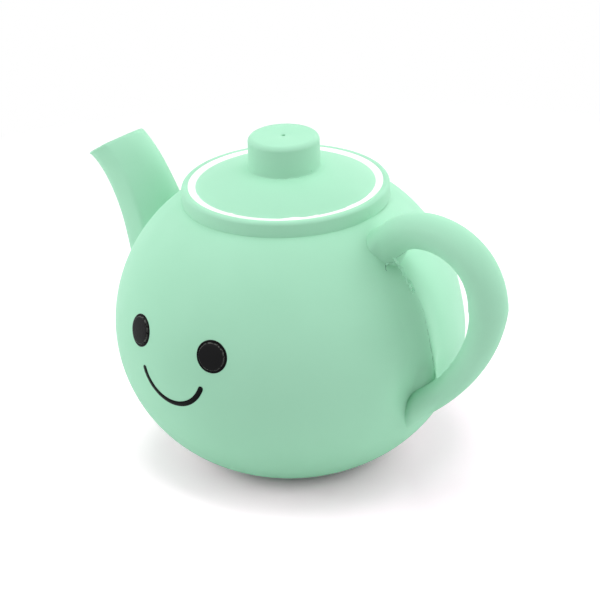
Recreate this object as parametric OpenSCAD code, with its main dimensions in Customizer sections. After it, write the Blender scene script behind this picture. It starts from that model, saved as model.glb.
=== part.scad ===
// Squeaking rubber teapot with a face: a soft hollow pot whose top can be pushed in.
// Millimetres. It stands on the origin, with its handle towards +X and its face towards -Y.

/* [Pot] */
// Radius at the widest place
pot_r = 46.3; // [45.3:0.1:48]
// Radius of the round side above the widest place
side_r = 40.6; // [39.6:0.1:41.6]
// Radius of the round side below the widest place
low_r = 39; // [38:0.1:41]
// Depth of the round bottom that the flat base cuts away
base_cut = 2.5; // [2.2:0.1:3.6]
// Thickness of the rubber
wall = 2.4; // [2.2:0.1:2.8]

/* [Collar and lid] */
// Outer radius of the raised collar
collar_r = 26.8; // [25.5:0.1:28]
// Height of the collar above the pot
collar_h = 4; // [3.4:0.1:5]
// Width of the collar's rim
collar_w = 1.8; // [1.6:0.1:2.2]
// Rounding of the rim's outer edge
collar_round = 0.9; // [0.5:0.1:1.2]
// Width of the painted groove
line_w = 1.8; // [1.4:0.1:2.2]
// Depth of the groove at the collar
line_drop = 0.1; // [0.1:0.05:0.3]
// Depth of the groove at the lid
lid_drop = 0.4; // [0.3:0.1:0.8]
// Thickness of the thin web under the groove
web = 0.8; // [0.5:0.1:1.2]
// Rise of the lid from its edge to the knob
lid_rise = 4.9; // [4:0.1:6.5]

/* [Knob] */
// Radius of the knob
knob_r = 9.2; // [8:0.1:11]
// Height of the knob
knob_h = 8.2; // [7:0.1:10]
// Rounding of the knob's top edge
knob_round = 1.4; // [0.8:0.1:2]
// Radius of the pin-hole that lets air in
pin_r = 0.5; // [0.4:0.1:0.7]

/* [Spout] */
// Reach of the mouth's centre past the widest place
spout_reach = 16.8; // [15:0.1:20]
// Height of the mouth's centre above the widest place
spout_up = 35.2; // [33:0.1:37]
// Slope of the spout at its mouth
spout_slope = 29; // [26:1:34]
// Radius of the spout where it leaves the pot
spout_root_r = 11.1; // [10.5:0.1:12]
// Radius of the spout at its mouth
spout_tip_r = 7.6; // [7:0.1:8.2]
// Narrowing of the spout a little below its mouth
spout_pinch = 0.75; // [0.3:0.05:1]
// Upward tilt of the mouth's rim
mouth_tilt = 59; // [54:1:62]
// Width of the rim round the mouth
mouth_rim = 1.7; // [1.4:0.1:2.2]
// Depth of the dish that closes the mouth
mouth_depth = 3; // [2.4:0.1:3.6]
// Radius of the port between pot and spout
port_r = 5; // [4:0.5:5.5]

/* [Handle] */
// Distance of the upper root from the collar along the pot's side
handle_below = 8.6; // [7.6:0.1:10]
// Angle down the pot's side of the lower root
handle_low_angle = 17; // [15:0.5:20]
// Reach of the handle's centreline past the widest place
handle_reach = 18.7; // [17.5:0.1:22]
// Height of the farthest place above the widest one
handle_far_up = 21.1; // [19.5:0.1:22.5]
// Slope of the handle at its upper root
handle_top_slope = 60; // [54:1:64]
// Slope of the handle at its lower root
handle_low_slope = 40; // [38:1:44]
// Radius at the upper root
handle_top_r = 4.6; // [4.2:0.1:5]
// Radius at the farthest place
handle_far_r = 4.9; // [4.5:0.1:5.3]
// Radius at the lower root
handle_low_r = 3; // [2.8:0.1:3.6]
// Widening at the upper root
handle_flare = 0.2; // [0.1:0.1:0.5]

/* [Face] */
// Turn of the face towards the handle
face_turn = 1; // [-2:0.5:3]
// Turn of each eye from the middle of the face
eye_turn = 15.7; // [14:0.1:18]
// Height of the eyes above the widest place
eye_up = 9.8; // [8.5:0.1:11]
// Radius of an eye
eye_r = 4.2; // [3.8:0.1:4.6]
// Radius of the raised button of an eye
button_r = 3.5; // [3:0.1:3.6]
// Height of that button over the pot
button_h = 0.45; // [0.3:0.05:0.6]
// Thickness of the paint
paint = 0.12; // [0.08:0.01:0.2]
// Radius of the smile's curve
smile_r = 9.8; // [9:0.1:10.5]
// Height of the centre of that curve above the widest place
smile_up = 3.7; // [3.2:0.1:4.4]
// Half of the angle that the smile covers
smile_half = 73; // [65:1:76]
// Width of the smile's stroke
smile_w = 1.35; // [1:0.05:1.6]
// Widening of the stroke at its two ends
smile_end = 0.1; // [0.05:0.05:0.2]

/* [Squeaker] */
// Radius of the squeaker's barrel
barrel_r = 7; // [6.5:0.1:7.5]
// Height of the squeaker's top over the table
barrel_h = 12; // [11.5:0.5:15]
// Thickness of the squeaker's plastic
plastic = 1.1; // [1:0.05:1.2]
// Overlap of the squeaker's edges over the rubber lip
catch_w = 1.8; // [1.4:0.1:2.2]
// Height of the bead that snaps in behind the lip
bead_h = 1.2; // [1:0.1:1.5]
// Depth of the recess under the base
recess = 1; // [0.8:0.1:1.1]
// Depth of the cap's plug
plug_h = 1.4; // [1:0.1:1.6]
// Radius of the sound holes in the cap
sound_r = 0.8; // [0.5:0.05:0.9]
// Number of sound holes
sounds = 6; // [4:1:8]

/* [Reed] */
// Outer radius of the sleeve
sleeve_r = 3.1; // [2.9:0.1:3.4]
// Thickness of the sleeve
sleeve_t = 0.6; // [0.5:0.05:0.7]
// Length of the sleeve
sleeve_h = 5; // [4.5:0.1:5.5]
// Thickness of the reed
reed_t = 0.2; // [0.15:0.01:0.25]
// Radius of the sound groove under the reed
groove_r = 1.2; // [1:0.05:1.4]

/* [Hidden] */
$fn = 96;
// Facets of the large round shapes
round_fn = 180;
// Sides of the swept tubes, and steps along one curve and along the hidden lead
sides = 24;
steps = 16;
lead_steps = 6;
// Extra length of cutting shapes
past = 1;

mint = [0.64, 0.85, 0.74];
white = [0.97, 0.97, 0.96];
black = [0.08, 0.08, 0.08];
clear_white = [0.88, 0.88, 0.84];
brass = [0.8, 0.68, 0.36];

// Clearance of the bonded roots of spout and handle
bond = 0.05;
// Clearance round the lid's edge
slip = 0.1;
// Clearance of the lid in the mouth of the pot
mouth_gap = 0.4;
// Clearance of the squeaker in the rubber lip and of the cap in its barrel
snug = 0.1;
// Clearance under the squeaker's flange and round it
flange_gap = 0.2;
// Clearance on either side of the reed
reed_gap = 0.2;
// Clearance of the half rounds in their sleeve
half_gap = 0.05;
// Clearance of the channel under the cap, of the reed under the channel's end, and of its sides
end_gap = 0.4;
side_gap = 0.25;

// Height of the widest place, middles of the two curves of the side, and the height at which the collar sits
girth_z = low_r - base_cut;
mid_r = pot_r - side_r;
low_mid_r = pot_r - low_r;
seat_z = girth_z + sqrt(pow(side_r, 2) - pow(collar_r - mid_r, 2));
rim_z = seat_z + collar_h;
bore_r = collar_r - collar_w;
lid_r = bore_r - line_w;
lid_z = rim_z - lid_drop;
knob_z = lid_z + lid_rise;
knob_in_r = knob_r - wall;

// Dome of the lid: a ball through its edge and through the foot of the knob
dome_drop = (pow(lid_r, 2) - pow(knob_r, 2) - pow(lid_rise, 2)) / (2 * lid_rise);
dome_r = sqrt(pow(lid_r, 2) + pow(dome_drop, 2));
dome_z = lid_z - dome_drop;

// Foot of the spout's rise: how far inside and below the widest place, slope, and pulls of the curve
foot_in = 5.7;
foot_down = 3.8;
foot_slope = 57;
foot_pull = 10.5;
tip_pull = 14.5;
// Hidden lead of the spout: where it starts, its slope and its pull
lead_in = 20.3;
lead_down = 10.5;
lead_slope = 10;
lead_pull = 6;
// Length past the mouth that is cut off at its rim
tip_spare = 6;

spout_dir = [-cos(spout_slope), sin(spout_slope)];
foot_dir = [-cos(foot_slope), sin(foot_slope)];
lead_dir = [-cos(lead_slope), sin(lead_slope)];
spout_tip = [-pot_r - spout_reach, girth_z + spout_up];
spout_foot = [-pot_r + foot_in, girth_z - foot_down];
spout_start = [-pot_r + lead_in, girth_z - lead_down];
spout_lead = [spout_start, spout_start + lead_pull * lead_dir, spout_foot - lead_pull * foot_dir, spout_foot];
spout_rise = [spout_foot, spout_foot + foot_pull * foot_dir, spout_tip - tip_pull * spout_dir, spout_tip];
// Share of the rise that is hollow, which leaves the floor of the dish
hollow = 1 - (mouth_depth + 3 * wall) / norm(spout_tip - spout_foot);
// Ball that hollows the dish
dish_r = spout_tip_r - mouth_rim;
ball_r = (pow(dish_r, 2) + pow(mouth_depth, 2)) / (2 * mouth_depth);

// Angle up the pot's side of the handle's upper root, a little below the collar
handle_top_angle = asin((seat_z - girth_z) / side_r) - handle_below / side_r * 180 / PI;
// Distance of that root from the pot's side, and pulls of the handle's two curves
top_stand = 2.5;
top_pull = 10;
far_pull = 19.1;
turn_pull = 3;
low_pull = 25;
// Lengths of the handle that run on into the pot, and steepness with which the flare fades
top_run = 7;
low_run = 18;
flare_fade = 8;

// Cubic curve in the plane of spout and handle, and its direction
function curve(p, t) = pow(1 - t, 3) * p[0] + 3 * t * pow(1 - t, 2) * p[1]
    + 3 * pow(t, 2) * (1 - t) * p[2] + pow(t, 3) * p[3];
function along(p, t) = pow(1 - t, 2) * (p[1] - p[0]) + 2 * t * (1 - t) * (p[2] - p[1])
    + pow(t, 2) * (p[3] - p[2]);
function unit(v) = v / norm(v);
function mix(a, b, t) = a + (b - a) * t;
function aim(a) = [cos(a), sin(a)];

handle_top = [mid_r, girth_z] + (side_r + top_stand) * aim(handle_top_angle);
handle_far = [pot_r + handle_reach, girth_z + handle_far_up];
handle_low = [low_mid_r, girth_z] + low_r * aim(-handle_low_angle);
handle_over = [handle_top, handle_top + top_pull * aim(handle_top_slope),
    handle_far + [0, far_pull], handle_far];
handle_under = [handle_far, handle_far - [0, turn_pull],
    handle_low + low_pull * aim(handle_low_slope), handle_low];

// Squeaker, from the table up
flange_r = barrel_r + catch_w;
cup_z = flange_gap;
floor_z = cup_z + plastic;
cap_z = barrel_h - plastic;
cap_in_r = barrel_r - 2 * plastic;
sound_pitch_r = (barrel_r - plastic) / 2;
half_r = sleeve_r - sleeve_t - half_gap;
channel_top = cap_z - plug_h - end_gap;
reed_low = cup_z + side_gap;
reed_top = channel_top - end_gap;
reed_half = half_r - side_gap;
reed_face = reed_t / 2 + reed_gap;

// One ring of a tube about the centre c, square to the direction d
function ring(c, d, r) = [for (i = [0 : sides - 1]) let (a = 360 * i / sides)
    [c[0] - d[1] * r * cos(a), r * sin(a), c[1] + d[0] * r * cos(a)]];

// Radius of the spout at the share t of its rise, narrowest at three quarters of it
function spout_r(t) = mix(spout_root_r, spout_tip_r, t)
    - spout_pinch * pow(t, 3) * (1 - t) / (pow(3 / 4, 3) / 4);

// Rings of the spout up to the share `to` of its rise, grown by g
function spout_path(g, to) = concat(
    [for (i = [0 : lead_steps - 1]) let (t = i / lead_steps)
        [curve(spout_lead, t), unit(along(spout_lead, t)), spout_root_r + g]],
    [for (i = [0 : steps]) let (t = to * i / steps)
        [curve(spout_rise, t), unit(along(spout_rise, t)), spout_r(t) + g]]);

// Rings of the handle from root to root
function handle_path() = concat(
    [[handle_top - top_run * aim(handle_top_slope), aim(handle_top_slope), handle_top_r + handle_flare]],
    [for (i = [0 : steps - 1]) let (t = i / steps) [curve(handle_over, t), unit(along(handle_over, t)),
        mix(handle_top_r, handle_far_r, t) + handle_flare * pow(1 - t, flare_fade)]],
    [for (i = [0 : steps]) let (t = i / steps) [curve(handle_under, t), unit(along(handle_under, t)),
        mix(handle_far_r, handle_low_r, t)]],
    [[handle_low - low_run * aim(handle_low_slope), -aim(handle_low_slope), handle_low_r]]);

// Closed tube over a list of [centre, direction, radius]
module tube(path) {
    last = len(path) - 1;
    polyhedron(points = [for (s = path) each ring(s[0], s[1], s[2])], faces = concat(
        [[for (i = [0 : sides - 1]) sides - 1 - i]],
        [[for (i = [0 : sides - 1]) last * sides + i]],
        [for (k = [0 : last - 1], i = [0 : sides - 1])
            [k * sides + i, k * sides + (i + 1) % sides, (k + 1) * sides + (i + 1) % sides]],
        [for (k = [0 : last - 1], i = [0 : sides - 1])
            [k * sides + i, (k + 1) * sides + (i + 1) % sides, (k + 1) * sides + i]]));
}

// Half section of the pot, grown by g
module pot_section(g = 0) {
    intersection() {
        translate([mid_r, girth_z]) circle(r = side_r + g, $fn = round_fn);
        translate([0, girth_z]) square([pot_r + g + past, seat_z - girth_z]);
    }
    intersection() {
        translate([low_mid_r, girth_z]) circle(r = low_r + g, $fn = round_fn);
        square([pot_r + g + past, girth_z]);
    }
}

// Solid of the pot's outside, grown by g
module pot_solid(g = 0) {
    rotate_extrude($fn = round_fn) pot_section(g);
}

// Thin layer of the thickness t on the pot's outside
module skin(t) {
    rotate_extrude($fn = round_fn) difference() {
        pot_section(t);
        pot_section();
    }
}

module pot_shell() {
    color(mint) difference() {
        rotate_extrude($fn = round_fn) difference() {
            pot_section();
            intersection() {
                pot_section(-wall);
                translate([0, wall]) square([pot_r, seat_z]);
            }
        }
        translate([0, 0, seat_z - 2 * wall]) cylinder(r = lid_r + mouth_gap, h = 3 * wall);
        translate([0, 0, -past]) cylinder(r = flange_r + flange_gap, h = recess + past);
        translate([0, 0, -past]) cylinder(r = barrel_r + snug, h = wall + 2 * past);
        translate([-pot_r - past, 0, girth_z + port_r]) rotate([0, 90, 0]) cylinder(r = port_r, h = 3 * wall);
    }
}

module collar() {
    color(mint) rotate_extrude() {
        translate([bore_r, seat_z]) square([collar_w, collar_h - collar_round]);
        translate([bore_r, seat_z]) square([collar_w - collar_round, collar_h]);
        translate([collar_r - collar_round, rim_z - collar_round]) circle(r = collar_round);
    }
}

module lid_line() {
    color(white) rotate_extrude() polygon([[bore_r, rim_z - line_drop], [bore_r, rim_z - line_drop - web],
        [lid_r + slip, lid_z - web], [lid_r + slip, lid_z]]);
}

module lid() {
    color(mint) rotate_extrude() intersection() {
        translate([0, dome_z]) difference() {
            circle(r = dome_r);
            circle(r = dome_r - wall);
        }
        translate([knob_in_r, dome_z]) square([lid_r - knob_in_r, knob_z - dome_z]);
    }
}

module knob() {
    color(mint) rotate_extrude() difference() {
        union() {
            translate([pin_r, knob_z]) square([knob_r - pin_r, knob_h - knob_round]);
            translate([pin_r, knob_z]) square([knob_r - knob_round - pin_r, knob_h]);
            translate([knob_r - knob_round, knob_z + knob_h - knob_round]) circle(r = knob_round);
        }
        translate([0, knob_z - past]) square([knob_in_r, knob_h - wall + past]);
    }
}

module spout() {
    color(mint) difference() {
        tube(concat(spout_path(0, 1), [[spout_tip + tip_spare * spout_dir, spout_dir, spout_tip_r]]));
        tube(spout_path(-wall, hollow));
        pot_solid(bond);
        translate([spout_tip[0], 0, spout_tip[1]]) rotate([0, mouth_tilt - 90, 0]) {
            cylinder(r = 2 * spout_tip_r, h = 2 * tip_spare);
            translate([0, 0, ball_r - mouth_depth]) sphere(r = ball_r);
        }
    }
}

module handle() {
    color(mint) difference() {
        tube(handle_path());
        pot_solid(bond);
    }
}

// Eye at the turn a: a painted dot with a raised button
module eye(a) {
    lean = asin(eye_up / side_r);
    for (s = [[eye_r, paint], [button_r, button_h]])
        intersection() {
            rotate([0, 0, face_turn + a]) translate([0, -mid_r - side_r * cos(lean), girth_z + eye_up])
                rotate([90 - lean, 0, 0]) cylinder(r = s[0], h = 2 * wall, center = true);
            skin(s[1]);
        }
}

module left_eye() {
    color(black) eye(-eye_turn);
}

module right_eye() {
    color(black) eye(eye_turn);
}

// Stroke of the smile seen from the front
module stroke() {
    intersection() {
        difference() {
            circle(r = smile_r + smile_w / 2);
            circle(r = smile_r - smile_w / 2);
        }
        polygon([[0, 0], 2 * smile_r * aim(-90 - smile_half), 4 * smile_r * aim(-90),
            2 * smile_r * aim(-90 + smile_half)]);
    }
    for (s = [-1, 1])
        translate(smile_r * aim(-90 + s * smile_half)) circle(r = (smile_w + smile_end) / 2);
}

module smile() {
    color(black) intersection() {
        rotate([0, 0, face_turn]) translate([0, 0, girth_z + smile_up]) rotate([90, 0, 0])
            linear_extrude(height = pot_r + past) stroke();
        skin(paint);
    }
}

module squeaker_cup() {
    color(clear_white) rotate_extrude() difference() {
        union() {
            translate([sleeve_r, cup_z]) square([flange_r - sleeve_r, recess - cup_z]);
            translate([sleeve_r, cup_z]) square([barrel_r - sleeve_r, cap_z - cup_z]);
            polygon([[sleeve_r, wall], [flange_r, wall], [barrel_r, wall + bead_h], [sleeve_r, wall + bead_h]]);
        }
        translate([0, floor_z]) square([barrel_r - plastic, barrel_h]);
    }
}

module squeaker_cap() {
    color(clear_white) difference() {
        rotate_extrude() {
            translate([0, cap_z]) square([barrel_r, plastic]);
            translate([0, cap_z - plug_h]) square([barrel_r - plastic - snug, plug_h]);
        }
        translate([0, 0, cap_z - plug_h - past]) cylinder(r = cap_in_r, h = plug_h + past);
        for (i = [0 : sounds - 1])
            rotate([0, 0, 360 * i / sounds]) translate([sound_pitch_r, 0, cap_z - past])
                cylinder(r = sound_r, h = plastic + 2 * past);
    }
}

module reed_sleeve() {
    color(brass) translate([0, 0, cup_z]) difference() {
        cylinder(r = sleeve_r, h = sleeve_h);
        translate([0, 0, -past]) cylinder(r = sleeve_r - sleeve_t, h = sleeve_h + 2 * past);
    }
}

// Half round of the height h on one side of the reed
module half_round(h) {
    linear_extrude(height = h) intersection() {
        circle(r = half_r);
        translate([-half_r, reed_face]) square([2 * half_r, half_r]);
    }
}

module reed_channel() {
    color(clear_white) translate([0, 0, cup_z]) difference() {
        half_round(channel_top - cup_z);
        translate([0, reed_face, -past]) cylinder(r = groove_r, h = reed_top - end_gap - cup_z + past);
    }
}

module reed_wedge() {
    color(clear_white) translate([0, 0, cup_z]) rotate([0, 0, 180]) half_round(sleeve_h);
}

module reed_strip() {
    color(brass) translate([-reed_half, -reed_t / 2, reed_low])
        cube([2 * reed_half, reed_t, reed_top - reed_low]);
}

pot_shell();
collar();
lid_line();
lid();
knob();
spout();
handle();
left_eye();
right_eye();
smile();
squeaker_cup();
squeaker_cap();
reed_sleeve();
reed_channel();
reed_wedge();
reed_strip();
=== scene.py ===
import bpy
import bmesh
import math
from mathutils import Matrix, Vector, noise
from mathutils.bvhtree import BVHTree


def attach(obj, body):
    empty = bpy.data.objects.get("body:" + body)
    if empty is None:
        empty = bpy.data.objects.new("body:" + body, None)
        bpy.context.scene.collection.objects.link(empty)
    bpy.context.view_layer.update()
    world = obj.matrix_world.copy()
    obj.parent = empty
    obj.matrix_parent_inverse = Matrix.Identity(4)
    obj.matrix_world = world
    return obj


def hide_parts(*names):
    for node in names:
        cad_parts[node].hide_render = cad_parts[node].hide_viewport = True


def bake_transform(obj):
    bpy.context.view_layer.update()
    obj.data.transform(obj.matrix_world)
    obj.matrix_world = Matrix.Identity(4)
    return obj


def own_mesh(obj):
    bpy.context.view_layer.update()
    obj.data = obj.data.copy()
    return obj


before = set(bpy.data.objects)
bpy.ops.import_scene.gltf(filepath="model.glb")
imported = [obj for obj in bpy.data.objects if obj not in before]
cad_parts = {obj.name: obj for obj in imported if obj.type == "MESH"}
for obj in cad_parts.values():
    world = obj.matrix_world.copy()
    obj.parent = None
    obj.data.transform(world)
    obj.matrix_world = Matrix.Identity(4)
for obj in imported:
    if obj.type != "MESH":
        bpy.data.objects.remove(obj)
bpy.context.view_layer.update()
print("stage: frame loaded")

# sizes in mm and turns in degrees, for pieces that fit each other
mm = 0.001
potSet = dict(r=46.28, sideR=40.58, lowR=38.98, girth=36.5, wall=2.4, lip=0.7, travel=10.0,
              footRise=0.54, foot=((0.42, 0.24), (0.95, 0.09), (1.6, 0.0)),  # inset and height of the rounded foot
              arcSteps=60, innerSteps=24, turnSteps=192, onSkin=0.05,
              flat=1.0, flatAt=43, flatWide=38, flatLow=28, flatHigh=44,
              pocket=2.3, pocketAt=4.5, pocketWide=11.0, pocketZ=30.5, pocketHigh=11.0)
squeakSet = dict(hole=7.1, recessR=9.0, recess=1.0)
collarSet = dict(r=26.8, h=4.0, w=1.8, round=0.9, roundSteps=10, inRound=0.35, inSteps=6, turnSteps=160)
lineSet = dict(w=1.8, drop=0.1, lidDrop=0.4, lap=0.08, t=0.12, proud=0.03, turnSteps=160,
               onCollar=0.35, onLid=0.03)  # how far the paint keeps off the collar and the lid
lidSet = dict(rise=4.9, edge=0.06, edgeTurn=0.06, skirt=0.45, domeSteps=40, innerSteps=20, turnSteps=160)
knobSet = dict(r=9.2, h=8.2, round=1.4, roundSteps=12, turnSteps=120, sink=0.1,
               foot=((0.3, -0.1), (0.09, 0.1), (0.0, 0.4)),  # out and up, a soft foot
               pin=0.5, pinEdge=((0.25, 0.0), (0.06, 0.08), (0.0, 0.3)))  # out and down, the worn pin-hole

girth = potSet["girth"]
midR = potSet["r"] - potSet["sideR"]
lowMidR = potSet["r"] - potSet["lowR"]
seatZ = girth + math.sqrt(potSet["sideR"] ** 2 - (collarSet["r"] - midR) ** 2)
rimZ = seatZ + collarSet["h"]
boreR = collarSet["r"] - collarSet["w"]
lidR = boreR - lineSet["w"]
lidZ = rimZ - lineSet["lidDrop"]
knobZ = lidZ + lidSet["rise"]


def lin(r, g, b):  # sRGB 0-255 to linear
    return tuple((c / 255 / 12.92) if c <= 10.3 else ((c / 255 + 0.055) / 1.055) ** 2.4 for c in (r, g, b))


def smooth(t):  # eases from 0 to 1
    t = min(max(t, 0.0), 1.0)
    return t * t * (3 - 2 * t)


def between(a, b, share):
    return a + (b - a) * share


def arc(cx, cz, rad, a0, a1, n):  # points of an arc in the half section
    angles = [math.radians(between(a0, a1, i / n)) for i in range(n + 1)]
    return [(cx + rad * math.cos(a), cz + rad * math.sin(a)) for a in angles]


def potOut(z):  # outer radius of the pot at a height
    if z >= girth:
        return midR + math.sqrt(potSet["sideR"] ** 2 - (z - girth) ** 2)
    return lowMidR + math.sqrt(potSet["lowR"] ** 2 - (z - girth) ** 2)


def potGap(v):  # distance of a point from the pot's outside
    r = math.hypot(v.x, v.y)
    if v.z >= girth:
        return math.hypot(r - midR, v.z - girth) - potSet["sideR"]
    return math.hypot(r - lowMidR, v.z - girth) - potSet["lowR"]


def potNormal(v):
    r = math.hypot(v.x, v.y)
    k = (r - (midR if v.z >= girth else lowMidR)) / r
    return Vector((v.x * k, v.y * k, v.z - girth)).normalized()


class Sock:
    def __init__(self, tree, socket):
        self.tree, self.socket = tree, socket

    def node(self, kind, ins, out=0, **props):
        n = self.tree.nodes.new(kind)
        for key, value in props.items():
            setattr(n, key, value)
        for key, value in ins.items():
            if isinstance(value, Sock):
                self.tree.links.new(value.socket, n.inputs[key])
            else:
                n.inputs[key].default_value = value
        return Sock(self.tree, n.outputs[out])

    def maths(self, op, other):
        return self.node("ShaderNodeMath", {0: self, 1: other}, operation=op)

    def __add__(self, other):
        return self.maths("ADD", other)

    def __mul__(self, other):
        return self.maths("MULTIPLY", other)

    __radd__, __rmul__ = __add__, __mul__

    def ramp(self, lo, hi, toLo=0.0, toHi=1.0):
        return self.node("ShaderNodeMapRange", {"Value": self, "From Min": lo, "From Max": hi,
                                                "To Min": toLo, "To Max": toHi}, clamp=True)

    def mix(self, a, b):
        return self.node("ShaderNodeMix", {0: self, 6: a, 7: b}, out=2, data_type="RGBA")

    def bump(self, strength, depth):
        return self.node("ShaderNodeBump", {"Strength": strength, "Distance": depth, "Height": self})


def material(name):  # new material, its shader node, object coordinates
    mat = bpy.data.materials.new(name)
    mat.use_nodes = True
    tree = mat.node_tree
    shader = tree.nodes["Principled BSDF"]
    coord = tree.nodes.new("ShaderNodeTexCoord")
    return mat, shader, Sock(tree, coord.outputs["Object"])


def feed(shader, name, sock):
    sock.tree.links.new(sock.socket, shader.inputs[name])


def noiseAt(pos, scale, detail=2.0):
    return pos.node("ShaderNodeTexNoise", {"Vector": pos, "Scale": scale, "Detail": detail})


midNoise = (0.3, 0.7)  # most of a noise lies in here
rubberSet = dict(mint=lin(171, 226, 196), deep=lin(166, 222, 191), toneScale=35.0, level=0.1,
                 rough=0.52, roughLess=0.04, roughMore=0.05, roughScale=160.0,
                 grain=0.06, grainDepth=0.0003, grainScale=1400.0, grainDetail=3.0)
paintSet = dict(white=lin(252, 252, 250), blur=0.00006, detail=1.0,  # white paint and its uneven edge, in m
                wave=0.0004, waveScale=75.0, waveOf=(0.25, 0.75), ripple=0.0002, rippleScale=330.0)
wearSet = dict(rough=0.03, roughScale=500.0, speckDepth=0.0002, speckScale=2600.0)
blackSet = dict(colour=lin(7, 7, 8), rough=0.34, level=0.06, grain=0.25)


def paintMask(pos, r, outside):  # 1 on the hand-painted line, which ends at the radius r
    s = paintSet
    flat = pos.node("ShaderNodeVectorMath", {0: pos, 1: (1, 1, 0)}, operation="MULTIPLY")
    radius = flat.node("ShaderNodeVectorMath", {0: flat}, out=1, operation="LENGTH")
    wave = noiseAt(flat, s["waveScale"], s["detail"]).ramp(*s["waveOf"], -s["wave"], s["wave"])
    ripple = noiseAt(flat, s["rippleScale"], s["detail"]).ramp(*midNoise, -s["ripple"], s["ripple"])
    edge = radius + wave + ripple
    return edge.ramp(r - s["blur"], r + s["blur"], *((0.0, 1.0) if outside else (1.0, 0.0)))


def rubber(name, paintR=None, paintOutside=True):
    s = rubberSet
    mat, shader, pos = material(name)
    colour = noiseAt(pos, s["toneScale"]).ramp(*midNoise).mix((*s["mint"], 1), (*s["deep"], 1))
    if paintR:
        colour = paintMask(pos, paintR * mm, paintOutside).mix(colour, (*paintSet["white"], 1))
    rough = noiseAt(pos, s["roughScale"])
    feed(shader, "Base Color", colour)
    feed(shader, "Roughness", rough.ramp(*midNoise, s["rough"] - s["roughLess"], s["rough"] + s["roughMore"]))
    feed(shader, "Normal", noiseAt(pos, s["grainScale"], s["grainDetail"]).bump(s["grain"], s["grainDepth"]))
    shader.inputs["Specular IOR Level"].default_value = s["level"]
    return mat


def plain(name, colour, rough, metal=0.0, level=0.5, grain=0.0):
    s = wearSet
    mat, shader, pos = material(name)
    shader.inputs["Base Color"].default_value = (*colour, 1)
    shader.inputs["Metallic"].default_value = metal
    shader.inputs["Specular IOR Level"].default_value = level
    feed(shader, "Roughness", noiseAt(pos, s["roughScale"]).ramp(*midNoise, rough - s["rough"], rough + s["rough"]))
    if grain:
        feed(shader, "Normal", noiseAt(pos, s["speckScale"]).bump(grain, s["speckDepth"]))
    return mat


mint = rubber("mintRubber")
mintCollar = rubber("mintCollar", boreR - lineSet["onCollar"], paintOutside=False)
mintLid = rubber("mintLid", lidR + lineSet["onLid"])
whitePaint = plain("whitePaint", paintSet["white"], rough=0.5)
blackPaint = plain("blackPaint", **blackSet)
flashHighlight = plain("flashHighlight", lin(196, 246, 220), rough=0.5, level=0.1)  # flash drawn lighter than the pot: painted highlight where the thin fins catch light
shade = plain("rubberShade", lin(72, 124, 98), rough=0.7, level=0.1)
milkPlastic = plain("milkPlastic", lin(225, 225, 216), rough=0.4)
brass = plain("brass", lin(205, 176, 100), rough=0.35, metal=1.0)
print("stage: materials")

meshSet = dict(mergeAt=2e-6, sharp=42, seamSharp=60)


def finishPiece(name, bm, mat, body, nodes, sharp=meshSet["sharp"]):
    bmesh.ops.remove_doubles(bm, verts=bm.verts, dist=meshSet["mergeAt"])
    bmesh.ops.recalc_face_normals(bm, faces=bm.faces)
    mesh = bpy.data.meshes.new(name)
    for f in bm.faces:
        f.smooth = True
    bm.to_mesh(mesh)
    bm.free()
    mesh.set_sharp_from_angle(angle=math.radians(sharp))
    mesh.materials.append(mat)
    piece = bpy.data.objects.new(name, mesh)
    bpy.context.collection.objects.link(piece)
    if body:
        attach(piece, body)
    if nodes:
        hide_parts(*nodes)
    return piece


def soften(piece):  # gives the piece a mesh of its own
    1 - potSet["travel"] / seatZ
    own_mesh(piece)
    return piece


def sectionLoop(bm, points, turn=0.0):  # closed half section, stood at a turn from +X
    a = math.radians(turn)
    verts = [bm.verts.new((r * math.cos(a) * mm, r * math.sin(a) * mm, z * mm)) for r, z in points]
    return verts + [bm.edges.new(pair) for pair in zip(verts, verts[1:] + verts[:1])]


def spinLoop(bm, loop, turn, steps, merge=False):
    bmesh.ops.spin(bm, geom=loop, cent=(0, 0, 0), axis=(0, 0, 1),
                   angle=math.radians(turn), steps=steps, use_merge=merge)


def revolve(points, steps):
    bm = bmesh.new()
    spinLoop(bm, sectionLoop(bm, points), 360, steps, merge=True)
    return bm


def skinRings(bm, rings):  # a loop of points, pulled from ring to ring and closed at both ends
    row = [bm.verts.new(p * mm) for p in rings[0]]
    loop = [bm.edges.new(pair) for pair in zip(row, row[1:] + row[:1])]
    bmesh.ops.edgeloop_fill(bm, edges=loop)
    for ring in rings[1:]:
        made = bmesh.ops.extrude_edge_only(bm, edges=loop)["geom"]
        fresh = {g for g in made if isinstance(g, bmesh.types.BMVert)}
        loop = [g for g in made if isinstance(g, bmesh.types.BMEdge) and fresh.issuperset(g.verts)]
        row = [next(e.other_vert(v) for e in v.link_edges if e.other_vert(v) in fresh) for v in row]
        for v, p in zip(row, ring):
            v.co = p * mm
    bmesh.ops.edgeloop_fill(bm, edges=loop)


def skinned(rings):
    bm = bmesh.new()
    skinRings(bm, rings)
    return bm


def bezier(p, t):
    return p[0] * (1 - t) ** 3 + p[1] * 3 * t * (1 - t) ** 2 + p[2] * 3 * t * t * (1 - t) + p[3] * t ** 3


def heading(p, t):
    return ((p[1] - p[0]) * (1 - t) ** 2 + (p[2] - p[1]) * 2 * t * (1 - t) + (p[3] - p[2]) * t * t).normalized()


def aim(a):  # direction in the XZ plane, away from the spout
    return Vector((math.cos(math.radians(a)), math.sin(math.radians(a))))


def backward(a):  # direction in the XZ plane, towards the spout
    return Vector((-math.cos(math.radians(a)), math.sin(math.radians(a))))


def upright(p):  # a point or direction of the XZ plane in space
    return Vector((p.x, 0, p.y))


def ringDirs(d, sides):  # outward directions of a ring square to the direction d in the XZ plane
    angles = [2 * math.pi * i / sides for i in range(sides)]
    return [Vector((-d.y * math.cos(a), math.sin(a), d.x * math.cos(a))) for a in angles]


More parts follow.
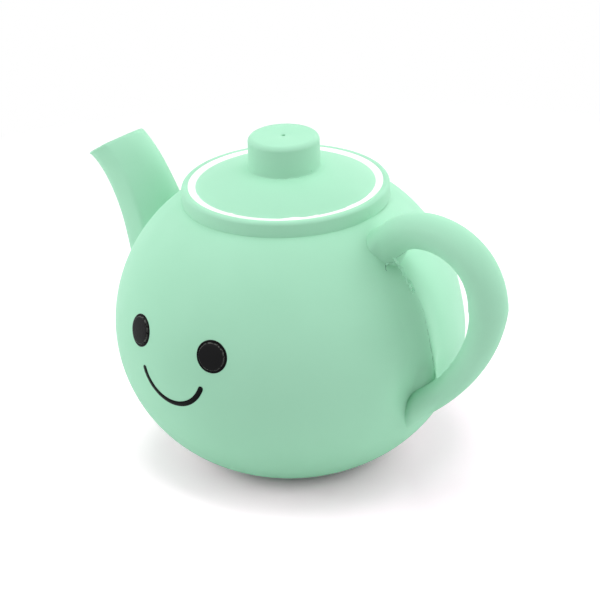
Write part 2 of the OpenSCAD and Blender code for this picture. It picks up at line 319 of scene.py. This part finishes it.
def spinZ(turn):
    return Matrix.Rotation(math.radians(turn), 3, "Z")


# pot: outer skin with a low ridge between the roots of the handle, base, inner wall
keelSet = dict(h=1.3, lowMore=1.1, wide=6.6, lowWide=3.0, top=62.0, topFade=14.0, low=26.5, lowFade=4.5,
               lowFrom=8.0, lowOver=14.0, blunt=0.32, lowBlunt=0.05, columns=84, turn=13.0)


def keel(turn, z):  # height of the ridge
    k = keelSet
    lower = smooth((girth + k["lowFrom"] - z) / k["lowOver"])
    blunt = between(k["blunt"], k["lowBlunt"], lower)
    away = math.hypot(potOut(z) * math.radians(turn) / (k["wide"] + k["lowWide"] * lower), blunt)
    if away >= 1 or not k["low"] < z < k["top"]:
        return 0.0
    tall = (k["h"] + k["lowMore"] * lower) * ((1 - away) / (1 - blunt)) ** 2
    return tall * smooth((k["top"] - z) / k["topFade"]) * smooth((z - k["low"]) / k["lowFade"])


def potPoint(turn, z):  # point of the ridge or of the plain pot at a turn from +X
    skin = spinZ(turn) @ Vector((potOut(z), 0, z))
    return skin + potNormal(skin) * keel(turn, z)


def flatDent(s, turn, z):  # slight flat on the right back
    high = smooth((z - s["flatLow"]) / (s["flatHigh"] - s["flatLow"]))
    return s["flat"] * smooth(1 - abs(turn - s["flatAt"]) / s["flatWide"]) * high


def pocketDent(s, at):  # the skin is drawn in beside the lower root of the handle
    if at.x <= 0:
        return 0.0
    across = smooth(1 - abs(abs(at.y) - s["pocketAt"]) / s["pocketWide"]) * smooth(abs(at.y) / s["pocketAt"])
    return s["pocket"] * across * smooth(1 - abs(at.z - s["pocketZ"]) / s["pocketHigh"])


def potSection(s, q):
    topEnd = math.degrees(math.asin((seatZ - girth) / s["sideR"]))
    lowEnd = math.degrees(math.asin((girth - s["footRise"]) / s["lowR"]))
    points = arc(midR, girth, s["sideR"], topEnd, 0, s["arcSteps"])[:-1]
    points += arc(lowMidR, girth, s["lowR"], 0, -lowEnd, s["arcSteps"])
    footR = points[-1][0]
    points += [(footR - inset, z) for inset, z in s["foot"]]
    points += [(q["recessR"], 0.0), (q["recessR"], q["recess"])]  # recess of the squeaker and its hole
    points += [(q["hole"], q["recess"]), (q["hole"], s["wall"])]
    inR, inLow, lipR = s["sideR"] - s["wall"], s["lowR"] - s["wall"], lidR + s["lip"]
    lowIn = math.degrees(math.asin((girth - s["wall"]) / inLow))
    topIn = math.degrees(math.acos((lipR - midR) / inR))
    points += arc(lowMidR, girth, inLow, -lowIn, 0, s["innerSteps"])[:-1]
    return points + arc(midR, girth, inR, 0, topIn, s["innerSteps"]) + [(lipR, seatZ)]


def makePot(s, k):
    bm = bmesh.new()
    section, fine = potSection(s, squeakSet), k["turn"]
    for start, turn, steps in ((-fine, 2 * fine, k["columns"]), (fine, 360 - 2 * fine, s["turnSteps"])):
        spinLoop(bm, sectionLoop(bm, section, start), turn, steps)  # finer by the handle
    for v in bm.verts:
        at = v.co / mm
        if abs(potGap(at)) < s["onSkin"]:
            turn = math.degrees(math.atan2(at.y, at.x))
            rise = keel(turn, at.z) - flatDent(s, turn, at.z) - pocketDent(s, at)
            v.co += potNormal(at) * rise * mm
    return bm


pot = soften(finishPiece("potSkin", makePot(potSet, keelSet), mint, "pot", ["pot_shell"]))


def collarSection(s):  # upright ring with a rounded rim
    rim, inner = s["round"], s["inRound"]
    points = [(s["r"], seatZ)] + arc(s["r"] - rim, rimZ - rim, rim, 0, 90, s["roundSteps"])
    return points + arc(boreR + inner, rimZ - inner, inner, 90, 180, s["inSteps"]) + [(boreR, seatZ)]


collarBm = revolve(collarSection(collarSet), collarSet["turnSteps"])
finishPiece("collarRing", collarBm, mintCollar, "top", ["collar"])

# painted line: thin sloping web from collar to lid
lineOut, lineIn = boreR + lineSet["lap"], lidR - lineSet["lap"]
lineZ = rimZ - lineSet["drop"]
lineSection = [(lineOut, lineZ + lineSet["proud"]), (lineOut, lineZ - lineSet["t"]),
               (lineIn, lidZ - lineSet["t"]), (lineIn, lidZ + lineSet["proud"])]
lineBm = revolve(lineSection, lineSet["turnSteps"])
paintLine = finishPiece("paintedLine", lineBm, whitePaint, None, ["lid_line"])
(lineZ - lineSet["t"]) * mm
(lidZ + lineSet["proud"]) * mm
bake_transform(paintLine)


def lidSection(s):  # dome through its edge and the foot of the knob
    drop = (lidR ** 2 - knobSet["r"] ** 2 - s["rise"] ** 2) / (2 * s["rise"])
    domeR, domeZ = math.hypot(lidR, drop), lidZ - drop
    inR, knobIn = domeR - potSet["wall"], knobSet["r"] - potSet["wall"]
    edgeAngle = math.degrees(math.atan2(drop, lidR)) + s["edgeTurn"]
    knobAngle = math.degrees(math.acos(knobSet["r"] / domeR))
    inTop, inEdge = (math.degrees(math.acos(r / inR)) for r in (knobIn, lidR))
    points = [(lidR, lidZ - s["edge"])] + arc(0, domeZ, domeR, edgeAngle, knobAngle, s["domeSteps"])
    points += [(knobIn, knobZ)] + arc(0, domeZ, inR, inTop, inEdge, s["innerSteps"])
    return points + [(lidR, lidZ - s["skirt"])]


lidBm = revolve(lidSection(lidSet), lidSet["turnSteps"])
finishPiece("lidDome", lidBm, mintLid, "lid", ["lid"])


def knobSection(s):  # button with a rounded edge, a pin-hole and a soft foot
    r, top, pin = s["r"], knobZ + s["h"], s["pin"]
    inR, inZ = r - potSet["wall"], top - potSet["wall"]
    points = [(r + out, knobZ + up) for out, up in s["foot"]]
    points += arc(r - s["round"], top - s["round"], s["round"], 0, 90, s["roundSteps"])
    points += [(pin + out, top - down) for out, down in s["pinEdge"]]
    return points + [(pin, inZ), (inR, inZ), (inR, knobZ - s["sink"])]


knobBm = revolve(knobSection(knobSet), knobSet["turnSteps"])
finishPiece("knobButton", knobBm, mint, "lid", ["knob"])
print("stage: pot and lid")

# spout: swept tube, cut aslant at the mouth and closed by a dish
spoutSet = dict(tip=(-63.1, 71.7), foot=(-40.6, 32.7), start=(-26.0, 26.0), slope=29, footSlope=57, leadSlope=10,
                leadPull=6, footPull=10.5, tipPull=14.5, rootR=11.1, tipR=7.6, pinch=0.75,
                tilt=59, slantFrom=0.5, rim=1.7, depth=3.0, lip=0.4, lipTurns=(25, 50, 70, 90), rimTurns=(90, 60, 30),
                crease=0.3, creaseWide=0.8, foldAt=246, foldWide=34, fold=1.0, foldFade=0.55, fadeFrom=0.65,
                sides=72, leadSteps=14, riseSteps=90, dishSteps=12)


def makeSpout(s):
    tip, foot, start = Vector(s["tip"]), Vector(s["foot"]), Vector(s["start"])
    tipDir, footDir, leadDir = backward(s["slope"]), backward(s["footSlope"]), backward(s["leadSlope"])
    lead = [start, start + leadDir * s["leadPull"], foot - footDir * s["leadPull"], foot]
    rise = [foot, foot + footDir * s["footPull"], tip - tipDir * s["tipPull"], tip]
    centre, mouth, onward = upright(tip), upright(backward(s["tilt"])), upright(tipDir)
    slant = [-s["tipR"] * o.dot(mouth) / onward.dot(mouth) for o in ringDirs(tipDir, s["sides"])]
    pinchPeak = 27 / 256  # highest value of far ** 3 * (1 - far)
    stations = [(lead, i / s["leadSteps"], 0.0) for i in range(s["leadSteps"])]
    stations += [(rise, i / s["riseSteps"], i / s["riseSteps"]) for i in range(s["riseSteps"] + 1)]
    rings = []
    for path, t, far in stations:
        c, d = bezier(path, t), heading(path, t)
        r = between(s["rootR"], s["tipR"], far) - s["pinch"] * far ** 3 * (1 - far) / pinchPeak
        fade = math.sqrt(1 - s["foldFade"] * smooth((far - s["fadeFrom"]) / (1 - s["fadeFrom"])))
        cut = smooth((far - s["slantFrom"]) / (1 - s["slantFrom"]))
        ring = []
        for k, o in enumerate(ringDirs(d, s["sides"])):
            v = upright(c) + o * r + onward * slant[k] * cut
            near = max(0.0, 1 - max(potGap(v), 0.0) / s["creaseWide"])
            fold = fade * max(0.0, 1 - abs(360 * k / s["sides"] - s["foldAt"]) / s["foldWide"])
            ring.append(v + o * (s["crease"] * near * near + s["fold"] * fold * fold))
        rings.append(ring)
    rim, lip = [v - centre for v in rings[-1]], s["lip"]
    rings[-1] = [v - mouth * lip for v in rings[-1]]

    def rimRing(inset, depth):
        return [centre + q.normalized() * (q.length - inset) - mouth * depth for q in rim]

    for edge, turns in ((lip, s["lipTurns"]), (s["rim"], s["rimTurns"])):  # rounded lip, outside and inside
        for a in turns:
            rings.append(rimRing(edge - lip * math.cos(math.radians(a)), lip - lip * math.sin(math.radians(a))))
    for k in range(1, s["dishSteps"]):
        share = 1 - k / s["dishSteps"]
        depth = between(lip, s["depth"], 1 - share ** 2)
        rings.append([centre + q.normalized() * (q.length - s["rim"]) * share - mouth * depth for q in rim])
    return skinned(rings)


soften(finishPiece("spoutTube", makeSpout(spoutSet), mint, "pot", ["spout"]))

# handle: swept tube with soft roots
handleSet = dict(topAngle=46.55, lowAngle=17, reach=18.7, farUp=21.1, topSlope=60, lowSlope=40, topStand=2.5,
                 topPull=10, farPull=19.1, turnPull=3, lowPull=25, topRun=7, lowRun=18, topR=4.4, farR=4.9, lowR=3.0,
                 topFillet=1.8, topWide=5.5, underFillet=0.25, underWide=0.9, lowFillet=1.7, lowWide=4.0,
                 outFillet=0.25, outWide=1.2, sideFillet=2.7, sideWide=9.5, sideMix=0.9, topPower=2,
                 sides=64, topSteps=14, overSteps=80, underSteps=100, lowSteps=30)


def handlePath(s):  # centre, direction, radius and whether it is the upper half
    top = Vector((midR, girth)) + aim(s["topAngle"]) * (potSet["sideR"] + s["topStand"])
    far = Vector((potSet["r"] + s["reach"], girth + s["farUp"]))
    low = Vector((lowMidR, girth)) + aim(-s["lowAngle"]) * potSet["lowR"]
    topDir, lowDir = aim(s["topSlope"]), aim(s["lowSlope"])
    over = [top, top + topDir * s["topPull"], far + Vector((0, s["farPull"])), far]
    under = [far, far - Vector((0, s["turnPull"])), low + lowDir * s["lowPull"], low]
    path = []
    for i in range(s["topSteps"]):  # from inside the pot
        path.append((top - topDir * s["topRun"] * (1 - i / s["topSteps"]), topDir, s["topR"], True))
    for i in range(s["overSteps"]):
        t = i / s["overSteps"]
        path.append((bezier(over, t), heading(over, t), between(s["topR"], s["farR"], t), True))
    for i in range(s["underSteps"] + 1):
        t = i / s["underSteps"]
        path.append((bezier(under, t), heading(under, t), between(s["farR"], s["lowR"], t), False))
    for i in range(1, s["lowSteps"] + 1):  # and back into it
        path.append((low - lowDir * s["lowRun"] * i / s["lowSteps"], -lowDir, s["lowR"], False))
    return path


def makeHandle(s):
    rings = []
    for c, d, r, upper in handlePath(s):
        inEnd, outEnd = ("under", "top") if upper else ("low", "out")
        ring = []
        for o in ringDirs(d, s["sides"]):
            v = upright(c) + o * r
            outside = smooth(0.5 + s["sideMix"] * (o.z * d.x - o.x * d.y)) ** (s["topPower"] if upper else 1)
            flank = 0.0 if upper else o.y * o.y  # the lower root also widens sideways
            wide = between(between(s[inEnd + "Wide"], s[outEnd + "Wide"], outside), s["sideWide"], flank)
            fillet = between(between(s[inEnd + "Fillet"], s[outEnd + "Fillet"], outside), s["sideFillet"], flank)
            near = max(0.0, 1 - max(potGap(v), 0.0) / wide)
            ring.append(v + o * fillet * near * near)
        rings.append(ring)
    return skinned(rings)


handle = soften(finishPiece("handleLoop", makeHandle(handleSet), mint, "pot", ["handle"]))
print("stage: spout and handle")

# mould seam: uneven thin ridges left in the plane of spout and handle
seamSet = dict(sink=0.15, sway=0.3, swayStep=0.37, lean=0.12, least=0.02, gap=0.2, tie=1e-8,
               tall=0.65, tallSwing=0.7, tallStep=0.23, tallRow=7.0, endStart=0.3, endSteps=2)


def ridge(bm, points, normals, seed, w, h):
    s, last, rings = seamSet, len(points) - 1, []
    for i, (p, n) in enumerate(zip(points, normals)):
        side = (points[min(i + 1, last)] - points[max(i - 1, 0)]).cross(n).normalized()
        wob = noise.noise(Vector((i * s["swayStep"], seed, 0.0)))
        uneven = s["tall"] + s["tallSwing"] * noise.noise(Vector((i * s["tallStep"], seed, s["tallRow"])))
        tall = h * uneven * min(1.0, (min(i, last - i) + s["endStart"]) / s["endSteps"])
        p = p + side * wob * s["sway"]
        foot, crest = n * s["sink"], side * w * s["lean"] * wob + n * max(tall, s["least"])
        rings.append([p - side * w / 2 - foot, p + crest, p + side * w / 2 - foot])
    skinRings(bm, rings)


def surfaceOf(*pieces):  # nearest-point finder over finished pieces
    verts, faces = [], []
    for piece in pieces:
        faces += [[i + len(verts) for i in p.vertices] for p in piece.data.polygons]
        verts += [v.co.copy() for v in piece.data.vertices]
    return BVHTree.FromPolygons(verts, faces)


def along(points):  # even steps on a broken line
    pts = []
    for a, b in zip(points, points[1:]):
        n = max(1, round((Vector(b) - Vector(a)).length / seamSet["gap"]))
        pts += [Vector(a).lerp(Vector(b), i / n) for i in range(n)]
    return pts + [Vector(points[-1])]


def nearest(tree, p):  # on a sharp crest two faces are equally near, so the one on the +Y side is taken
    reach = tree.find_nearest(p)[3] + seamSet["tie"]
    return max(tree.find_nearest_range(p, reach), key=lambda hit: hit[1].y)


def layOn(tree, points):  # feet and normals on the surface
    hits = [nearest(tree, p * mm) for p in points]
    return [h[0] / mm for h in hits], [h[1] for h in hits]


def downPot(s):  # a wavering line down the pot, below the handle's upper root
    heights = [between(s["top"], s["low"], i / s["steps"]) for i in range(s["steps"] + 1)]
    return [potPoint(s["turn"] + s["swing"] * noise.noise(Vector((z * s["wave"], *s["row"]))), z) for z in heights]


# each web or crack: its points, seed, width and height
websAt = (
    ([(37.8, -2.7, 65.1), (37.7, -1.8, 63.9), (37.4, -0.8, 62.6), (37.9, -0.15, 61.3), (39.2, -0.6, 59.6)],
     1.5, 0.7, 0.9),
    ([(39.0, 0.1, 59.9), (40.0, -0.5, 58.5), (40.8, -0.5, 57.5), (42.1, -0.7, 55.6)], 7.3, 0.6, 0.55),
    ([(40.0, 0.4, 58.6), (41.0, 0.5, 57.2), (42.0, 0.2, 55.8)], 3.9, 0.4, 0.3),
    ([(36.2, -3.9, 63.2), (37.0, -2.5, 63.3), (37.5, -1.7, 63.4)], 2.8, 0.55, 0.5))
# cracks: dark strips laid flush on the skin, painted shade for the slits
cracksAt = (
    ([(36.1, -3.8, 63.2), (36.5, -4.2, 62.7), (37.1, -4.6, 61.9)], 8.1, 0.7, 0.05),
    ([(36.3, -3.5, 63.0), (37.1, -2.5, 63.0), (37.6, -1.6, 63.0)], 4.4, 0.2, 0.05),
    ([(38.0, -2.1, 64.7), (38.5, -1.7, 65.2), (39.1, -1.0, 65.8), (39.8, -0.3, 66.4)], 6.1, 0.26, 0.05),
    ([(40.7, -0.1, 57.7), (41.6, -0.3, 56.4), (42.0, -0.5, 55.7)], 9.9, 0.36, 0.05))
crestSet = dict(top=54.0, low=30.0, steps=60, turn=0.0, swing=0.4, wave=0.4, row=(0, 2), seed=6.5, w=0.4, h=0.22)
# the split down the ridge is a dark strip too, painted shade
splitSet = dict(top=49.0, low=34.0, steps=50, turn=-0.25, swing=0.3, wave=0.5, row=(1, 4), seed=3.1, w=0.24, h=0.06)
skin = surfaceOf(pot, handle)
# webs and crest line in the lighter rubber are painted highlight; cracks and split in the dark rubber are painted
# shade
for name, strips, line, mat in (("potSeam", websAt, crestSet, flashHighlight), ("seamCrackShade", cracksAt, splitSet, shade)):
    bm = bmesh.new()
    for points, seed, w, h in strips:
        ridge(bm, *layOn(skin, along(points)), seed, w, h)
    ridge(bm, *layOn(skin, downPot(line)), line["seed"], line["w"], line["h"])
    soften(finishPiece(name, bm, mat, "pot", None, sharp=meshSet["seamSharp"]))

collarSeamSet = dict(r=collarSet["r"], turn=3, z=seatZ + 0.6, run=2.2, steps=10, seed=3.3, w=0.5, h=0.2)
knobSeamSet = dict(r=knobSet["r"], turn=0, z=knobZ + 0.15, run=0.9, steps=6, seed=5.7, w=0.6, h=0.3)
footSeamSet = dict(r=knobSet["r"] + 0.25, z=knobZ - 0.05, start=-60, turn=50, steps=24, up=1.5, seed=9.4, w=0.4, h=0.2)


def uprightRidge(bm, s):
    spin = spinZ(s["turn"])
    points = [spin @ Vector((s["r"], 0, s["z"] + s["run"] * i / s["steps"])) for i in range(s["steps"] + 1)]
    ridge(bm, points, [spin @ Vector((1, 0, 0))] * len(points), s["seed"], s["w"], s["h"])


def roundRidge(bm, s):
    turns = [s["start"] + s["turn"] * i / s["steps"] for i in range(s["steps"] + 1)]
    outs = [spinZ(a) @ Vector((1, 0, 0)) for a in turns]
    normals = [(v + Vector((0, 0, s["up"]))).normalized() for v in outs]
    ridge(bm, [v * s["r"] + Vector((0, 0, s["z"])) for v in outs], normals, s["seed"], s["w"], s["h"])


# seams on collar and knob, in the lighter rubber as painted highlight
bm = bmesh.new()
uprightRidge(bm, collarSeamSet)
finishPiece("collarSeam", bm, flashHighlight, "top", None, sharp=meshSet["seamSharp"])
bm = bmesh.new()
uprightRidge(bm, knobSeamSet)
roundRidge(bm, footSeamSet)
finishPiece("knobSeam", bm, flashHighlight, "lid", None, sharp=meshSet["seamSharp"])
print("stage: seams")

# face: painted dots with a raised button, and a painted smile
faceSet = dict(turn=1, eyeTurn=15.7, eyeUp=9.8, eyeR=4.2, buttonR=3.5, buttonH=0.45, paint=0.12, sides=72,
               flatRings=(0.4, 1.5, 2.6), buttonEdge=((-0.32, 0.0), (-0.2, -0.02), (-0.08, -0.09), (0.0, -0.2)),
               groove=((0.03, -0.05), (0.12, -0.06)), grooveEnd=0.2,
               paintEdge=((-0.2, 1.0), (-0.06, 0.8), (0.0, 0.35)), hem=(0.01, -0.15),
               wobble=0.018, wobbleScale=1.3, dropTries=12, dropSlope=0.2,
               # button: greyer black as painted reflection; edgeGlint: speckled painted highlight along the button's
               # edge
               button=lin(23, 23, 24), edgeGlint=lin(104, 106, 102), edgeGlintW=0.2, edgeGlintScale=1900.0, edgeGlintOf=(0.42, 0.62),
               smileR=10.3, smileUp=4.6, smileHalf=68.6, smileW=1.35, smileSteps=90, capSteps=4, capLeast=0.003,
               stroke=((-1.0, -0.12), (-1.0, 0.05), (-0.8, 0.11), (0.0, 0.14), (0.8, 0.11), (1.0, 0.05), (1.0, -0.12)))


def dropTo(v, n):  # moves a point along n to the pot's outside
    for _ in range(faceSet["dropTries"]):
        v = v - n * potGap(v) / max(potNormal(v).dot(n), faceSet["dropSlope"])
    return v


def eyeFrame(turn):  # centre of an eye on the pot, its right, up and outward directions
    lean = math.asin(faceSet["eyeUp"] / potSet["sideR"])
    spin = spinZ(faceSet["turn"] + turn)
    n = spin @ Vector((0, -math.cos(lean), math.sin(lean)))
    right = spin @ Vector((1, 0, 0))
    centre = spin @ Vector((0, -midR - potSet["sideR"] * math.cos(lean), girth + faceSet["eyeUp"]))
    return centre, right, right.cross(n), n


def eyePaint(name, turn):  # black paint, greyer on the button as painted reflection, with a speckled painted highlight along its edge
    s = faceSet
    mat = plain(name, **blackSet)
    tree = mat.node_tree
    pos = Sock(tree, tree.nodes["Texture Coordinate"].outputs["Object"])
    edge, wide = s["buttonR"] * mm, s["edgeGlintW"] * mm
    away = pos.node("ShaderNodeVectorMath", {0: pos, 1: eyeFrame(turn)[0] * mm}, out=1, operation="DISTANCE")
    # the button is greyer black: painted reflection of the lamps on its gloss
    inside = away.ramp(edge - wide, edge, 1.0, 0.0)
    # speckled painted highlight in a ring along the button's edge
    edgeGlint = away.ramp(edge - wide, edge) * away.ramp(edge, edge + wide, 1.0, 0.0)
    edgeGlint = edgeGlint * noiseAt(pos, s["edgeGlintScale"]).ramp(*s["edgeGlintOf"])
    colour = inside.mix((*blackSet["colour"], 1), (*s["button"], 1))
    feed(tree.nodes["Principled BSDF"], "Base Color", edgeGlint.mix(colour, (*s["edgeGlint"], 1)))
    return mat


def makeEye(s, turn, seed):
    centre, right, up, n = eyeFrame(turn)
    button, rim, high, thin = s["buttonR"], s["eyeR"], s["buttonH"], s["paint"]
    wavyFrom = button + s["grooveEnd"]
    section = [(r, high) for r in s["flatRings"]]
    section += [(button + out, high + rise) for out, rise in s["buttonEdge"]]
    section += [(button + out, thin + rise) for out, rise in s["groove"]] + [(wavyFrom, thin)]
    section += [(rim + out, thin * share) for out, share in s["paintEdge"]] + [(rim + s["hem"][0], s["hem"][1])]
    rings = []
    for r, h in section:
        ring = []
        for i in range(s["sides"]):
            a = 2 * math.pi * i / s["sides"]
            spot = Vector((math.cos(a) * s["wobbleScale"], math.sin(a) * s["wobbleScale"], seed))
            wob = 1 + s["wobble"] * noise.noise(spot) * (r > wavyFrom)  # only the outer edge is uneven
            p = dropTo(centre + (right * math.cos(a) + up * math.sin(a)) * r * wob, n)
            ring.append(p + potNormal(p) * h)
        rings.append(ring)
    return skinned(rings)


def makeSmile(s):
    spin, count, caps, wide = spinZ(s["turn"]), s["smileSteps"], s["capSteps"], s["smileW"] / 2
    n = spin @ Vector((0, -1, 0))
    rings = []
    for i in range(-caps, count + caps + 1):  # the first and last steps round off the ends
        f = min(max(i, 0), count) / count
        a = math.radians(-90 - s["smileHalf"] + 2 * s["smileHalf"] * f)
        over = max(-i, i - count, 0) / caps
        half = wide * math.sqrt(max(1 - over * over, s["capLeast"]))
        pastEnd = over * wide * (1 if i > count else -1)
        out, onward = Vector((math.cos(a), 0, math.sin(a))), Vector((-math.sin(a), 0, math.cos(a)))
        ring = []
        for k, h in s["stroke"]:
            p = out * (s["smileR"] + k * half) + onward * pastEnd
            p = dropTo(spin @ Vector((p.x, -potSet["r"], girth + s["smileUp"] + p.z)), n)
            ring.append(p + potNormal(p) * h)
        rings.append(ring)
    return skinned(rings)


for name, node, turn, seed in (("leftEye", "left_eye", -faceSet["eyeTurn"], 2.0),
                               ("rightEye", "right_eye", faceSet["eyeTurn"], 5.0)):
    eyeBm = makeEye(faceSet, turn, seed)
    soften(finishPiece(name + "Dot", eyeBm, eyePaint(name + "Paint", turn), "pot", [node]))
soften(finishPiece("smileStroke", makeSmile(faceSet), blackPaint, "pot", ["smile"]))
print("stage: face")

# squeaker: the solids stay, with better finishes
for mat, names in ((milkPlastic, ("squeaker_cup", "squeaker_cap", "reed_channel", "reed_wedge")),
                   (brass, ("reed_sleeve", "reed_strip"))):
    for name in names:
        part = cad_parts[name]
        part.data.materials.clear()
        part.data.materials.append(mat)

# camera, in metres
stageSet = dict(turn=42.7, lift=25.7115, roll=-2.3548, away=0.552, lens=125.752, sensor=36, clip=0.02,
                offset=0.00249, aimZ=0.04122)
turn, lift, roll = (math.radians(stageSet[k]) for k in ("turn", "lift", "roll"))
camRight = Vector((math.cos(turn), math.sin(turn), 0))
camNear = Vector((math.sin(turn), -math.cos(turn), 0))
back = camNear * math.cos(lift) + Vector((0, 0, math.sin(lift)))
camUp = back.cross(camRight)
target = camRight * stageSet["offset"] + Vector((0, 0, stageSet["aimZ"]))
rolledRight = camRight * math.cos(roll) + camUp * math.sin(roll)
rolledUp = camUp * math.cos(roll) - camRight * math.sin(roll)
camTurn = Matrix((rolledRight, rolledUp, back)).transposed().to_4x4()
camData = bpy.data.cameras.new("photoCamera")
camData.sensor_width, camData.lens, camData.clip_start = stageSet["sensor"], stageSet["lens"], stageSet["clip"]
camera = bpy.data.objects.new("photoCamera", camData)
camera.matrix_world = Matrix.Translation(target + back * stageSet["away"]) @ camTurn
bpy.context.collection.objects.link(camera)
bpy.context.scene.camera = camera

# floor: the camera sees a brighter sheet that evens out the green cast, and the shadow stays, lightened by painted
# light on the left of the object and deepened by painted shade on its right
pureWhite = (1, 1, 1, 1)
floorSet = dict(size=3.0, grey=(0.9, 0.9, 0.9, 1), rough=0.9, mirrored=pureWhite, whiteFrom=0.16, whiteTo=0.26,
                core=(1.38, 0.97, 1.18, 1), coreAt=0.025, ringAt=0.042, left=(1.58, 1.31, 1.46, 1), leftAt=-0.005,
                right=(1.2, 0.99, 1.11, 1), rightAt=0.03, out=(1.1, 1.06, 1.09, 1), outAt=0.085)


def seenBy(sock, *kinds):  # 1 for rays of these kinds
    path = sock.tree.nodes.new("ShaderNodeLightPath")
    return sum(Sock(sock.tree, path.outputs["Is %s Ray" % kind]) for kind in kinds)


def mixShaders(factor, one, two):
    return factor.node("ShaderNodeMixShader", {0: factor, 1: one, 2: two})


def paleFloor(s):
    mat, shader, pos = material("paleFloor")
    shader.inputs["Base Color"].default_value = s["grey"]
    shader.inputs["Roughness"].default_value = s["rough"]
    shader.inputs["Specular IOR Level"].default_value = 0.0
    away = pos.node("ShaderNodeVectorMath", {0: pos}, out=1, operation="LENGTH")
    across = pos.node("ShaderNodeVectorMath", {0: pos, 1: camRight}, out=1, operation="DOT_PRODUCT")
    core, left, right, out, mirrored = (pos.node("ShaderNodeBsdfDiffuse", {"Color": s[k]})
                                        for k in ("core", "left", "right", "out", "mirrored"))
    white = pos.node("ShaderNodeEmission", {"Color": pureWhite, "Strength": 1.0})
    # painted light across the shadow on the left, painted shade on the right
    sheet = mixShaders(across.ramp(s["leftAt"], s["rightAt"]), left, right)
    sheet = mixShaders(away.ramp(s["coreAt"], s["ringAt"]), core, sheet)
    sheet = mixShaders(away.ramp(s["ringAt"], s["outAt"]), sheet, out)
    sheet = mixShaders(away.ramp(s["whiteFrom"], s["whiteTo"]), sheet, white)
    seen = mixShaders(seenBy(pos, "Glossy", "Transmission"), Sock(pos.tree, shader.outputs[0]), mirrored)
    seen = mixShaders(seenBy(pos, "Camera"), seen, sheet)
    feed(pos.tree.nodes["Material Output"], "Surface", seen)
    return mat


bm = bmesh.new()
bmesh.ops.create_grid(bm, x_segments=1, y_segments=1, size=floorSet["size"])
floorMesh = bpy.data.meshes.new("floor")
bm.to_mesh(floorMesh)
bm.free()
floorMesh.materials.append(paleFloor(floorSet))
floor = bpy.data.objects.new("floor", floorMesh)
bpy.context.collection.objects.link(floor)

# light: soft boxes round the object and a dim world that the camera sees as white
lightSet = dict(away=0.9, size=0.55, middle=0.04, sky=0.02, boxes=dict(  # turn from the camera, lift, power
    leftFront=(-60, 28, 2.5), leftSide=(-90, 28, 1.65), leftBack=(-120, 28, 1.35), leftRear=(-150, 28, 0.8),
    rightFront=(60, 28, 3.05), rightSide=(90, 48, 1.3), rightBack=(120, 28, 1.2), rightRear=(150, 28, 2.05),
    top=(0, 90, 3.95)))
for name, (boxTurn, boxLift, power) in lightSet["boxes"].items():
    a, b = math.radians(boxTurn), math.radians(boxLift)
    lamp = bpy.data.lights.new(name, "AREA")
    lamp.shape, lamp.size, lamp.energy = "SQUARE", lightSet["size"], power
    toBox = (camRight * math.sin(a) + camNear * math.cos(a)) * math.cos(b) + Vector((0, 0, math.sin(b)))
    box = bpy.data.objects.new(name, lamp)
    box.location = Vector((0, 0, lightSet["middle"])) + toBox * lightSet["away"]
    box.rotation_euler = (-toBox).to_track_quat("-Z", "Y").to_euler()
    bpy.context.collection.objects.link(box)
world = bpy.data.worlds.new("studio")
world.use_nodes = True
sky = world.node_tree.nodes["Background"]
sky.inputs["Color"].default_value = pureWhite
sky.inputs["Strength"].default_value = lightSet["sky"]
dim = Sock(world.node_tree, sky.outputs[0])
clear = dim.node("ShaderNodeBackground", {"Color": pureWhite, "Strength": 1.0})
worldSeen = mixShaders(seenBy(dim, "Camera", "Glossy", "Transmission"), dim, clear)
feed(world.node_tree.nodes["World Output"], "Surface", worldSeen)
bpy.context.scene.world = world
bpy.context.scene.view_settings.view_transform = "Standard"
print("stage: light and camera")
